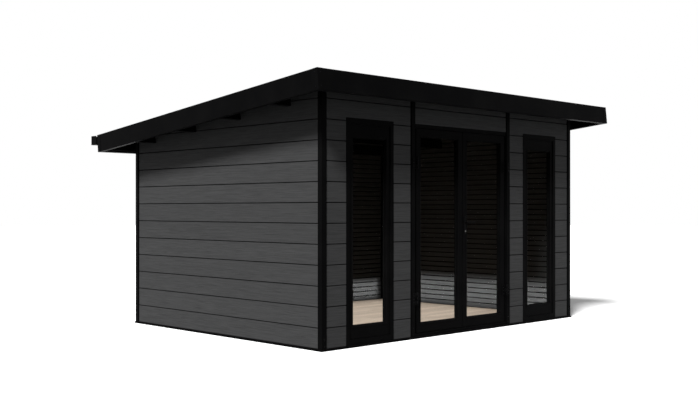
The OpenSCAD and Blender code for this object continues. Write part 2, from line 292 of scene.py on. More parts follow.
@dataclass(frozen=True)
class Finish:
    """What every finish has: a material name and the record's slot."""

    name: str
    slot: str

    def start(self) -> tuple[bpy.types.NodeTree, bpy.types.Node, bpy.types.Node, bpy.types.Material]:
        """Makes an empty material.

        Returns:
            Its tree, its Principled node, its Object coordinates and itself.
        """
        mat = bpy.data.materials.new(self.name)
        mat.use_nodes = True
        tree = mat.node_tree
        shader = tree.nodes["Principled BSDF"]
        coords = add_node(tree, "ShaderNodeTexCoord")
        return tree, shader, coords, mat


def use_group(tree: bpy.types.NodeTree, group: bpy.types.NodeTree, inputs: dict) -> bpy.types.Node:
    """Places a shader group in a tree.

    Args:
        tree: The tree to add to.
        group: The group to place.
        inputs: Input name to value or socket.

    Returns:
        The group node.
    """
    return add_node(tree, "ShaderNodeGroup", inputs, node_tree=group)


def blend_colours(
    tree: bpy.types.NodeTree, amount: object, first: object, second: object
) -> bpy.types.NodeSocket:
    """Mixes two colours.

    Args:
        tree: The tree to add to.
        amount: A socket or number, 0 for the first colour and 1 for the second.
        first: A colour or the socket of one.
        second: A colour or the socket of one.

    Returns:
        The mixed colour's socket.
    """
    mix = add_node(tree, "ShaderNodeMix", data_type="RGBA")
    for index, value in ((0, amount), (6, first), (7, second)):
        if isinstance(value, bpy.types.NodeSocket):
            tree.links.new(value, mix.inputs[index])
        else:
            mix.inputs[index].default_value = value
    return mix.outputs[2]


@dataclass(frozen=True)
class BoardFinish(Finish):
    """A grained board: a composite plank, a floor board or a stained board."""

    stretch: Point = (1.5, 60.0, 60.0)
    dark: Point = (0.045, 0.046, 0.048)
    light: Point = (0.080, 0.081, 0.083)
    pore: Point = (0.03, 0.03, 0.03)
    pore_strength: float = 0.5
    dust: Point = (0.10, 0.095, 0.09)
    dust_strength: float = 0.25
    rough: tuple[float, float] = (0.55, 0.72)
    relief: float = 0.0006
    tint: float = 0.25
    # Colour that joint_shade blends towards: painted shade in the wall planks' grooves and over their inner
    # faces, and darker edges on floor and roof boards.
    joint: Point = (0.004, 0.004, 0.004)
    gloss: float = 0.05

    def build(self, groups: Groups) -> bpy.types.Material:
        """Builds the material.

        Args:
            groups: The shared shader groups.

        Returns:
            The material.
        """
        tree, shader, coords, mat = self.start()
        board = add_node(tree, "ShaderNodeAttribute", attribute_name="board_tone")
        seed = add_node(
            tree, "ShaderNodeMath", {0: board.outputs["Fac"], 1: BOARD_SEED_STEP}, operation="MULTIPLY"
        )
        grain = use_group(
            tree, groups.grain,
            {"Vector": coords.outputs["Object"], "Stretch": self.stretch, "Seed": seed.outputs[0]}
        )
        shade = blend_colours(tree, grain.outputs["Height"], (*self.dark, 1), (*self.light, 1))
        pored = add_node(
            tree, "ShaderNodeMath", {0: grain.outputs["Pores"], 1: self.pore_strength}, operation="MULTIPLY"
        )
        pores = blend_colours(tree, pored.outputs[0], shade, (*self.pore, 1))
        dust = use_group(tree, groups.dust, {"Vector": coords.outputs["Object"]})
        dusty = add_node(
            tree, "ShaderNodeMath", {0: dust.outputs["Mask"], 1: self.dust_strength}, operation="MULTIPLY"
        )
        weathered = blend_colours(tree, dusty.outputs[0], pores, (*self.dust, 1))
        low, high = 1.0 - self.tint, 1.0 + self.tint
        tone = add_node(
            tree, "ShaderNodeMapRange", {"Value": board.outputs["Fac"], "To Min": low, "To Max": high}
        )
        toned = add_node(
            tree, "ShaderNodeVectorMath", {0: weathered, "Scale": tone.outputs[0]}, operation="SCALE"
        )
        # Painted shade: the colour darkens towards the joint colour where joint_shade is high, deep in the
        # planks' joints and grooves and over the walls' inner faces; floor and roof boards darken along their
        # edges.
        joint = add_node(tree, "ShaderNodeAttribute", attribute_name="joint_shade")
        colour = blend_colours(tree, joint.outputs["Fac"], toned.outputs[0], (*self.joint, 1))
        rough = add_node(
            tree, "ShaderNodeMapRange",
            {"Value": grain.outputs["Height"], "To Min": self.rough[1], "To Max": self.rough[0]}
        )
        bump = add_node(
            tree, "ShaderNodeBump",
            {"Height": grain.outputs["Height"], "Strength": 0.8, "Distance": self.relief}
        )
        tree.links.new(colour, shader.inputs["Base Color"])
        tree.links.new(rough.outputs[0], shader.inputs["Roughness"])
        tree.links.new(bump.outputs[0], shader.inputs["Normal"])
        # The sheen falls away where the shade is painted.
        shine = add_node(
            tree, "ShaderNodeMapRange",
            {"Value": joint.outputs["Fac"], "From Max": 0.5, "To Min": self.gloss, "To Max": 0.0}
        )
        tree.links.new(shine.outputs[0], shader.inputs["Specular IOR Level"])
        return mat


@dataclass(frozen=True)
class CoatFinish(Finish):
    """Powder coat, membrane or gasket: one colour with fine relief and light wear."""

    colour: Point = (0.0023, 0.0023, 0.0025)
    worn: Point = (0.0041, 0.0041, 0.0043)
    dust: Point = (0.06, 0.058, 0.054)
    dust_strength: float = 0.03
    rough: tuple[float, float] = (0.34, 0.46)
    grain: float = 900.0
    relief: float = 0.00012
    metallic: float = 0.0
    gloss: float = 0.006

    def build(self, groups: Groups) -> bpy.types.Material:
        """Builds the material.

        Args:
            groups: The shared shader groups.

        Returns:
            The material.
        """
        tree, shader, coords, mat = self.start()
        peel = use_group(tree, groups.peel, {"Vector": coords.outputs["Object"], "Grain": self.grain})
        base = blend_colours(tree, peel.outputs["Shade"], (*self.colour, 1), (*self.worn, 1))
        dust = use_group(tree, groups.dust, {"Vector": coords.outputs["Object"], "Patch Size": 3.1})
        dusty = add_node(
            tree, "ShaderNodeMath", {0: dust.outputs["Mask"], 1: self.dust_strength}, operation="MULTIPLY"
        )
        colour = blend_colours(tree, dusty.outputs[0], base, (*self.dust, 1))
        rough = add_node(
            tree, "ShaderNodeMapRange",
            {"Value": peel.outputs["Shade"], "To Min": self.rough[0], "To Max": self.rough[1]}
        )
        bump = add_node(
            tree, "ShaderNodeBump",
            {"Height": peel.outputs["Height"], "Strength": 0.6, "Distance": self.relief}
        )
        tree.links.new(colour, shader.inputs["Base Color"])
        tree.links.new(rough.outputs[0], shader.inputs["Roughness"])
        tree.links.new(bump.outputs[0], shader.inputs["Normal"])
        shader.inputs["Metallic"].default_value = self.metallic
        shader.inputs["Specular IOR Level"].default_value = self.gloss
        return mat


@dataclass(frozen=True)
class BrushedFinish(Finish):
    """Brushed steel, with its scratches running along Z."""

    colour: Point = (0.55, 0.55, 0.54)
    stretch: Point = (900.0, 900.0, 40.0)

    def build(self, groups: Groups) -> bpy.types.Material:
        """Builds the material.

        Args:
            groups: The shared shader groups.

        Returns:
            The material.
        """
        tree, shader, coords, mat = self.start()
        grain = use_group(tree, groups.grain, {"Vector": coords.outputs["Object"], "Stretch": self.stretch})
        colour = blend_colours(
            tree, grain.outputs["Height"], tuple(c * 0.8 for c in self.colour) + (1,), (*self.colour, 1)
        )
        rough = add_node(
            tree, "ShaderNodeMapRange", {"Value": grain.outputs["Height"], "To Min": 0.24, "To Max": 0.36}
        )
        bump = add_node(
            tree, "ShaderNodeBump", {"Height": grain.outputs["Height"], "Strength": 0.3, "Distance": 0.00005}
        )
        tree.links.new(colour, shader.inputs["Base Color"])
        tree.links.new(rough.outputs[0], shader.inputs["Roughness"])
        tree.links.new(bump.outputs[0], shader.inputs["Normal"])
        shader.inputs["Metallic"].default_value = 1.0
        return mat


@dataclass(frozen=True)
class GlassFinish(Finish):
    """Clear float glass that lets lamps through."""

    tint: Point = (0.93, 0.94, 0.935)
    ior: float = 1.006

    def build(self, groups: Groups) -> bpy.types.Material:
        """Builds the material.

        Args:
            groups: The shared shader groups.

        Returns:
            The material.
        """
        tree, shader, coords, mat = self.start()
        dust = use_group(tree, groups.dust, {"Vector": coords.outputs["Object"], "Patch Size": 1.3})
        rough = add_node(
            tree, "ShaderNodeMapRange", {"Value": dust.outputs["Mask"], "To Min": 0.0, "To Max": 0.03}
        )
        tree.links.new(rough.outputs[0], shader.inputs["Roughness"])
        shader.inputs["Base Color"].default_value = (*self.tint, 1)
        shader.inputs["Transmission Weight"].default_value = 1.0
        shader.inputs["IOR"].default_value = self.ior
        path = add_node(tree, "ShaderNodeLightPath")
        clear = add_node(tree, "ShaderNodeBsdfTransparent", {"Color": (*self.tint, 1)})
        lamp = add_node(
            tree, "ShaderNodeMath", {0: path.outputs["Is Shadow Ray"], 1: path.outputs["Is Diffuse Ray"]},
            operation="MAXIMUM"
        )
        mix = add_node(
            tree, "ShaderNodeMixShader", {0: lamp.outputs[0], 1: shader.outputs[0], 2: clear.outputs[0]}
        )
        tree.links.new(mix.outputs[0], tree.nodes["Material Output"].inputs["Surface"])
        return mat


class Palette:
    """Every finish of the shed, as built materials."""

    def __init__(self) -> None:
        """Builds the materials."""
        groups = Groups()
        # The planks' joint colour is the painted shade of their grooves and inner faces.
        plank = dict(
            slot="cladding", dark=(0.044, 0.0443, 0.045), light=(0.068, 0.0683, 0.069),
            pore=(0.026, 0.026, 0.0265), pore_strength=0.42, dust=(0.085, 0.084, 0.082), dust_strength=0.04,
            tint=0.05, joint=(0.002, 0.002, 0.002)
        )
        self.plank_x = BoardFinish("plank_front", stretch=(3.0, 60.0, 210.0), **plank).build(groups)
        self.plank_y = BoardFinish("plank_side", stretch=(60.0, 3.0, 210.0), **plank).build(groups)
        self.floor = BoardFinish(
            "floor_board", "floor_wood", stretch=(2.0, 70.0, 60.0), dark=(0.52, 0.395, 0.30),
            light=(0.70, 0.57, 0.46), pore=(0.38, 0.27, 0.19), pore_strength=0.35, dust=(0.62, 0.55, 0.48),
            dust_strength=0.2, rough=(0.38, 0.55), relief=0.0002, tint=0.12, joint=(0.16, 0.11, 0.07),
            gloss=0.1
        ).build(groups)
        self.soffit = BoardFinish(
            "roof_board", "roof_board", stretch=(70.0, 2.0, 60.0), dark=(0.005, 0.005, 0.0055),
            light=(0.010, 0.010, 0.0105), pore=(0.004, 0.004, 0.004), dust=(0.03, 0.03, 0.03),
            dust_strength=0.08, rough=(0.5, 0.66), relief=0.0003, tint=0.18, gloss=0.01
        ).build(groups)
        self.coat = CoatFinish("powder_coat", "black_aluminium").build(groups)
        self.steel = CoatFinish(
            "coated_steel", "black_steel", colour=(0.0036, 0.0036, 0.0038), worn=(0.0062, 0.0062, 0.0065),
            rough=(0.38, 0.52)
        ).build(groups)
        self.membrane = CoatFinish(
            "roof_membrane", "black_rubber", colour=(0.023, 0.023, 0.0245), worn=(0.031, 0.031, 0.0325),
            dust=(0.12, 0.115, 0.105), dust_strength=0.14, rough=(0.7, 0.86), grain=420.0, relief=0.0005
        ).build(groups)
        self.gasket = CoatFinish(
            "gasket_rubber", "black_rubber", colour=(0.003, 0.003, 0.003), worn=(0.006, 0.006, 0.006),
            dust_strength=0.04, rough=(0.6, 0.75), grain=600.0
        ).build(groups)
        self.spacer = CoatFinish(
            "glass_spacer", "black_aluminium", colour=(0.004, 0.004, 0.0042), worn=(0.007, 0.007, 0.0072),
            rough=(0.4, 0.5)
        ).build(groups)
        self.screw = BrushedFinish(
            "screw_steel", "lock_steel", colour=(0.006, 0.006, 0.0063), stretch=(500.0, 500.0, 500.0)
        ).build(groups)
        self.lock = BrushedFinish("lock_steel", "lock_steel", colour=(0.11, 0.11, 0.109)).build(groups)
        self.glass = GlassFinish("clear_glass", "glazing").build(groups)


# ------------------------------------------------------------------ mesh helpers


def bounds_of(node: str) -> Box:
    """The lowest and highest corners of a CAD node, as vectors."""
    low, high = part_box(node)
    return Vector(low), Vector(high)


def new_piece(name: str, bm: bmesh.types.BMesh, material: bpy.types.Material) -> bpy.types.Object:
    """Turns a mesh under construction into an object at the origin.

    Args:
        name: The piece's name.
        bm: The mesh; it is freed.
        material: The material of every face.

    Returns:
        The new object, linked to the scene.
    """
    mesh = bpy.data.meshes.new(name)
    bm.to_mesh(mesh)
    bm.free()
    piece = bpy.data.objects.new(name, mesh)
    bpy.context.scene.collection.objects.link(piece)
    mesh.materials.append(material)
    return piece


def settle(piece: bpy.types.Object, body: str, slot: str, *nodes: str) -> None:
    """Parents a finished piece to its body's empty and hides the CAD nodes that it stands for.

    Args:
        piece: The piece.
        body: The CAD body that it moves with.
        slot: The record's material slot; not used.
        *nodes: The CAD nodes that it stands for.
    """
    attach(piece, body)
    if nodes:
        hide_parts(*nodes)
    LOG.info("%s rides on %s, %d faces", piece.name, body, len(piece.data.polygons))


def add_box(bm: bmesh.types.BMesh, low: Sequence[float], high: Sequence[float], bevel: float = 0.0) -> None:
    """Adds a closed box, with bevelled edges if asked.

    Args:
        bm: The mesh to add to.
        low: The lowest corner.
        high: The highest corner.
        bevel: Width of the bevel.
    """
    low, high = Vector(low), Vector(high)
    made = bmesh.ops.create_cube(
        bm, size=1.0, matrix=Matrix.Translation((low + high) / 2) @ Matrix.Diagonal((*(high - low), 1))
    )
    if bevel > 0:
        edges = {e for v in made["verts"] for e in v.link_edges}
        bmesh.ops.bevel(bm, geom=list(edges), offset=bevel, segments=2, affect="EDGES", clamp_overlap=True)


def add_ring(
    bm: bmesh.types.BMesh, low: Sequence[float], high: Sequence[float], width: float, bevel: float = 0.0
) -> None:
    """Adds a rectangular ring in the XZ plane, mitred in its corners.

    Args:
        bm: The mesh to add to.
        low: The outer lowest corner.
        high: The outer highest corner.
        width: Face width of the ring.
        bevel: Width of a chamfer along the outward edges.
    """
    x0, y0, z0 = low
    x1, y1, z1 = high
    profile = [
        (0, y0 + bevel), (bevel, y0), (width - bevel, y0), (width, y0 + bevel), (width, y1), (0, y1)
    ] if bevel else [(0, y0), (width, y0), (width, y1), (0, y1)]
    loops = []
    for inset, y in profile:
        loops.append(
            [
                bm.verts.new(p) for p in (
                    (x0 + inset, y, z0 + inset), (x1 - inset, y, z0 + inset), (x1 - inset, y, z1 - inset),
                    (x0 + inset, y, z1 - inset)
                )
            ]
        )
    count = len(loops)
    for i in range(count):
        near, far = loops[i], loops[(i + 1) % count]
        for k in range(4):
            bm.faces.new((near[k], near[(k + 1) % 4], far[(k + 1) % 4], far[k]))
    bmesh.ops.recalc_face_normals(bm, faces=bm.faces)


def mirror_y(bm: bmesh.types.BMesh, total: float) -> None:
    """Mirrors a mesh front to back.

    Args:
        bm: The mesh.
        total: What a point's old and new Y add up to.
    """
    turn = Matrix.Translation((0, total, 0)) @ Matrix.Scale(-1, 4, (0, 1, 0))
    bmesh.ops.transform(bm, matrix=turn, verts=bm.verts)
    bmesh.ops.recalc_face_normals(bm, faces=bm.faces)


def trim(bm: bmesh.types.BMesh, point: Sequence[float], outward: Sequence[float]) -> None:
    """Cuts away what lies beyond a plane and closes the cut.

    Args:
        bm: The mesh to cut.
        point: A point on the plane.
        outward: The plane's normal, pointing at what goes.
    """
    geom = bm.verts[:] + bm.edges[:] + bm.faces[:]
    cut = bmesh.ops.bisect_plane(
        bm, geom=geom, plane_co=Vector(point), plane_no=Vector(outward), clear_outer=True
    )
    edges = [e for e in cut["geom_cut"] if isinstance(e, bmesh.types.BMEdge)]
    if edges:
        bmesh.ops.holes_fill(bm, edges=edges, sides=0)


def soft_copy(
    node: str, name: str, material: bpy.types.Material, bevel: float = 0.0015, segments: int = 2
) -> bpy.types.Object:
    """Copies a CAD node and rounds its edges.

    Args:
        node: The CAD node.
        name: The new piece's name.
        material: Its material.
        bevel: Radius of the edges.
        segments: Segments of the rounding.

    Returns:
        The new object.
    """
    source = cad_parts[node]
    bm = bmesh.new()
    bm.from_mesh(source.data)
    bmesh.ops.transform(bm, matrix=source.matrix_world, verts=bm.verts)
    bmesh.ops.remove_doubles(bm, verts=bm.verts, dist=WELD_DISTANCE)
    bmesh.ops.dissolve_limit(bm, angle_limit=FLAT_ANGLE, verts=bm.verts, edges=bm.edges)
    sharp = [e for e in bm.edges if len(e.link_faces) == 2 and e.calc_face_angle(0.0) > SHARP_ANGLE]
    bmesh.ops.bevel(bm, geom=sharp, offset=bevel, segments=segments, affect="EDGES", clamp_overlap=True)
    bmesh.ops.triangulate(bm, faces=[f for f in bm.faces if len(f.verts) > 4])
    return new_piece(name, bm, material)


# ------------------------------------------------------------------ geometry nodes


def realize(group: bpy.types.NodeTree, mesh: bpy.types.Mesh, values: dict) -> bmesh.types.BMesh:
    """Runs a Geometry Nodes tree over a mesh.

    Args:
        group: The tree.
        mesh: The mesh that it starts from.
        values: Input name to value.

    Returns:
        The tree's result, as a mesh under construction.
    """
    keys = {item.name: item.identifier for item in group.interface.items_tree if item.in_out == "INPUT"}
    holder = bpy.data.objects.new("holder", mesh)
    bpy.context.scene.collection.objects.link(holder)
    modifier = holder.modifiers.new("layout", "NODES")
    modifier.node_group = group
    for name, value in values.items():
        modifier[keys[name]] = value
    graph = bpy.context.evaluated_depsgraph_get()
    copy = bpy.data.meshes.new_from_object(holder.evaluated_get(graph))
    bpy.data.objects.remove(holder)
    bm = bmesh.new()
    bm.from_mesh(copy)
    bpy.data.meshes.remove(copy)
    return bm


class PlankTree:
    """A Geometry Nodes tree that lays one board profile out in a row.

    The profile object is repeated along a step, and each board gets a random
    tone, kept in the attribute board_tone.
    """

    def __init__(self) -> None:
        """Builds the tree."""
        tree = bpy.data.node_groups.new("board_row", "GeometryNodeTree")
        for name, kind, value in (
            ("Geometry", "Geometry", None), ("Board", "Object", None), ("Count", "Int", 5),
            ("First", "Vector", None), ("Step", "Vector", None), ("Seed", "Int", 1),
            ("Finish", "Material", None)
        ):
            socket = tree.interface.new_socket(name=name, in_out="INPUT", socket_type=f"NodeSocket{kind}")
            if value is not None:
                socket.default_value = value
        tree.interface.new_socket(name="Geometry", in_out="OUTPUT", socket_type="NodeSocketGeometry")
        entry = tree.nodes.new("NodeGroupInput")
        exit_node = tree.nodes.new("NodeGroupOutput")
        line = add_node(
            tree, "GeometryNodeMeshLine",
            {
                "Count": entry.outputs["Count"], "Start Location": entry.outputs["First"],
                "Offset": entry.outputs["Step"]
            },
            mode="OFFSET"
        )
        info = add_node(
            tree, "GeometryNodeObjectInfo", {"Object": entry.outputs["Board"]}, transform_space="ORIGINAL"
        )
        stand = add_node(
            tree, "GeometryNodeInstanceOnPoints",
            {"Points": line.outputs["Mesh"], "Instance": info.outputs["Geometry"]}
        )
        index = add_node(tree, "GeometryNodeInputIndex")
        tone = add_node(
            tree, "FunctionNodeRandomValue", {"ID": index.outputs[0], "Seed": entry.outputs["Seed"]},
            data_type="FLOAT"
        )
        store = add_node(
            tree, "GeometryNodeStoreNamedAttribute",
            {"Geometry": stand.outputs["Instances"], "Name": "board_tone", "Value": tone.outputs[1]},
            data_type="FLOAT", domain="INSTANCE"
        )
        real = add_node(tree, "GeometryNodeRealizeInstances", {"Geometry": store.outputs["Geometry"]})
        dress = add_node(
            tree, "GeometryNodeSetMaterial",
            {"Geometry": real.outputs["Geometry"], "Material": entry.outputs["Finish"]}
        )
        tree.links.new(dress.outputs["Geometry"], exit_node.inputs["Geometry"])
        self.tree = tree

    def lay(
        self, board: bpy.types.Object, count: int, first: Sequence[float], step: Sequence[float],
        material: bpy.types.Material, seed: int = 1
    ) -> bmesh.types.BMesh:
        """Lays boards and returns them as a plain mesh under construction.

        Args:
            board: The board to repeat.
            count: How many boards.
            first: Where the first one goes.
            step: From one board to the next.
            material: Their finish.
            seed: Seed of the boards' tones.

        Returns:
            The realized boards.
        """
        values = {
            "Board": board, "Count": count, "First": tuple(first), "Step": tuple(step), "Seed": seed,
            "Finish": material
        }
        return realize(self.tree, bpy.data.meshes.new("row"), values)


class FixingTree:
    """A Geometry Nodes tree that puts a small part, such as a screw, on points."""

    def __init__(self) -> None:
        """Builds the tree."""
        tree = bpy.data.node_groups.new("fixings", "GeometryNodeTree")
        for name, kind in (
            ("Geometry", "Geometry"), ("Part", "Object"), ("Turn Seed", "Int"), ("Axis", "Vector"),
            ("Finish", "Material")
        ):
            tree.interface.new_socket(name=name, in_out="INPUT", socket_type=f"NodeSocket{kind}")
        tree.interface.new_socket(name="Geometry", in_out="OUTPUT", socket_type="NodeSocketGeometry")
        entry = tree.nodes.new("NodeGroupInput")
        exit_node = tree.nodes.new("NodeGroupOutput")
        info = add_node(
            tree, "GeometryNodeObjectInfo", {"Object": entry.outputs["Part"]}, transform_space="ORIGINAL"
        )
        turn = add_node(
            tree, "FunctionNodeRandomValue", {"Seed": entry.outputs["Turn Seed"]}, data_type="FLOAT"
        )
        turn.inputs[3].default_value = 2 * math.pi
        aim = add_node(tree, "FunctionNodeAlignRotationToVector", {"Vector": entry.outputs["Axis"]}, axis="Z")
        spin = add_node(
            tree, "FunctionNodeAxisAngleToRotation", {"Axis": (0.0, 0.0, 1.0), "Angle": turn.outputs[1]}
        )
        both = add_node(
            tree, "FunctionNodeRotateRotation", {0: aim.outputs[0], 1: spin.outputs[0]},
            rotation_space="LOCAL"
        )
        stand = add_node(
            tree, "GeometryNodeInstanceOnPoints",
            {
                "Points": entry.outputs["Geometry"], "Instance": info.outputs["Geometry"],
                "Rotation": both.outputs[0]
            }
        )
        real = add_node(tree, "GeometryNodeRealizeInstances", {"Geometry": stand.outputs["Instances"]})
        dress = add_node(
            tree, "GeometryNodeSetMaterial",
            {"Geometry": real.outputs["Geometry"], "Material": entry.outputs["Finish"]}
        )
        tree.links.new(dress.outputs["Geometry"], exit_node.inputs["Geometry"])
        self.tree = tree

    def place(
        self, part: bpy.types.Object, points: Sequence[Point], axis: Point, material: bpy.types.Material,
        seed: int = 3
    ) -> bmesh.types.BMesh:
        """Puts a part on each point.

        Args:
            part: The part, drawn along +Z from the origin.
            points: Where the parts go.
            axis: The way they face.
            material: Their finish.
            seed: Seed of their turns.

        Returns:
            The realized parts.
        """
        mesh = bpy.data.meshes.new("points")
        mesh.from_pydata([tuple(p) for p in points], [], [])
        values = {"Part": part, "Turn Seed": seed, "Axis": tuple(axis), "Finish": material}
        return realize(self.tree, mesh, values)


class Patterns:
    """Small parts that are only ever repeated, kept out of the scene."""

    @staticmethod
    def keep(name: str, bm: bmesh.types.BMesh) -> bpy.types.Object:
        """Stores a part without linking it to the scene."""
        bmesh.ops.recalc_face_normals(bm, faces=bm.faces)
        mesh = bpy.data.meshes.new(name)
        bm.to_mesh(mesh)
        bm.free()
        return bpy.data.objects.new(name, mesh)

    @classmethod
    def screw(cls, radius: float, height: float) -> bpy.types.Object:
        """A domed screw head with a six-sided socket.

        Args:
            radius: Radius of the head.
            height: Height of the dome.

        Returns:
            The part.
        """
        bm = bmesh.new()
        sides, socket = 12, 6
        rings = (
            (radius, -0.001), (radius, height * 0.25), (radius * 0.82, height * 0.8), (radius * 0.5, height)
        )
        loops = [
            [
                bm.verts.new(
                    (r * math.cos(2 * math.pi * k / sides), r * math.sin(2 * math.pi * k / sides), z)
                ) for k in range(sides)
            ] for r,
            z in rings
        ]
        reach = [radius * (0.42 if k % 2 == 0 else 0.36) for k in range(sides)]
        inner = [
            bm.verts.new(
                (r * math.cos(math.pi * k / socket), r * math.sin(math.pi * k / socket), height * 0.95)
            ) for k,
            r in enumerate(reach)
        ]
        floor = [bm.verts.new((v.co.x, v.co.y, height * 0.2)) for v in inner]
        loops += [inner, floor]
        for near, far in zip(loops, loops[1:]):
            for k in range(sides):
                bm.faces.new((near[k], near[(k + 1) % sides], far[(k + 1) % sides], far[k]))
        bm.faces.new(loops[-1])
        bm.faces.new(list(reversed(loops[0])))
        return cls.keep("screw_part", bm)

    @classmethod
    def profile_board(
        cls, name: str, outline: Sequence[Sequence[float]], length: float, run: Run
    ) -> bpy.types.Object:
        """A board drawn as an outline pushed along its run.

        Args:
            name: The part's name.
            outline: Points across the board, as (across, up) or (across, up,
                shade), where shade is the painted shade at the point, full deep in a joint.
            length: Length of the board, centred on 0.
            run: The direction it runs in.

        Returns:
            The part.
        """
        bm = bmesh.new()
        shade = bm.verts.layers.float.new("joint_shade")
        ends = []
        for s in (-0.5, 0.5):
            end = []
            for a, b, *depth in outline:
                vert = bm.verts.new((s * length, a, b) if run is Run.ALONG_X else (a, s * length, b))
                vert[shade] = depth[0] if depth else 0.0
                end.append(vert)
            ends.append(end)
        count = len(outline)
        for k in range(count):
            bm.faces.new((ends[0][k], ends[0][(k + 1) % count], ends[1][(k + 1) % count], ends[1][k]))
        bm.faces.new(list(reversed(ends[0])))
        bm.faces.new(ends[1])
        return cls.keep(name, bm)


def merged(parts: Sequence[bmesh.types.BMesh]) -> bmesh.types.BMesh:
    """Joins several meshes under construction into one, and frees them.

    Args:
        parts: The meshes.

    Returns:
        The joined mesh.
    """
    whole = bmesh.new()
    for part in parts:
        mesh = bpy.data.meshes.new("part")
        part.to_mesh(mesh)
        part.free()
        whole.from_mesh(mesh)
        bpy.data.meshes.remove(mesh)
    return whole


# ------------------------------------------------------------------ the shed's shared places


@dataclass(frozen=True)
class Slope:
    """The roof's sloping frame: along runs down the slope, up stands square to it."""

    front_y: float = -1.843
    front_z: float = 2.506
    pitch: float = math.radians(5.84)
    deck_under: float = -0.045

    @property
    def along(self) -> Vector:
        """Unit vector down the slope, towards the back."""
        return Vector((0.0, math.cos(self.pitch), -math.sin(self.pitch)))

    @property
    def up(self) -> Vector:
        """Unit vector square to the slope."""
        return Vector((0.0, math.sin(self.pitch), math.cos(self.pitch)))

    def at(self, x: float, along: float, up: float) -> Vector:
        """The point of the shed's frame at these distances in the roof's frame."""
        return Vector((x, self.front_y, self.front_z)) + self.along * along + self.up * up

    def matrix(self) -> Matrix:
        """The matrix from the roof's frame to the shed's."""
        return Matrix.Translation((0.0, self.front_y, self.front_z)) @ Matrix.Rotation(-self.pitch, 4, "X")


@dataclass
class Workshop:
    """What every sub-assembly shares: finishes, trees and the roof's frame."""

    palette: Palette
    planks: PlankTree
    fixings: FixingTree
    slope: Slope = field(default_factory=Slope)

    def coat(
        self, body: str, node: str, material: bpy.types.Material, slot: str, bevel: float = 0.0015,
        segments: int = 2
    ) -> None:
        """Puts a soft-edged, finished copy in the place of a CAD node.

        Args:
            body: The CAD body.
            node: The CAD node.
            material: The finish.
            slot: The record's material slot.
            bevel: Radius of the edges.
            segments: Segments of the rounding.
        """
        settle(soft_copy(node, f"{node}_finished", material, bevel, segments), body, slot, node)

    def screws(
        self, name: str, body: str, points: Sequence[Point], axis: Point, radius: float = 0.0045,
        height: float = 0.0022
    ) -> None:
        """Puts screw heads on a face.

        Args:
            name: The piece's name.
            body: The CAD body.
            points: Where the heads sit.
            axis: The way they face.
            radius: Radius of a head.
            height: Height of a head.
        """
        part = Patterns.screw(radius, height)
        bm = self.fixings.place(part, points, axis, self.palette.screw)
        bpy.data.objects.remove(part)
        settle(new_piece(name, bm, self.palette.screw), body, "lock_steel")


# ------------------------------------------------------------------ walls


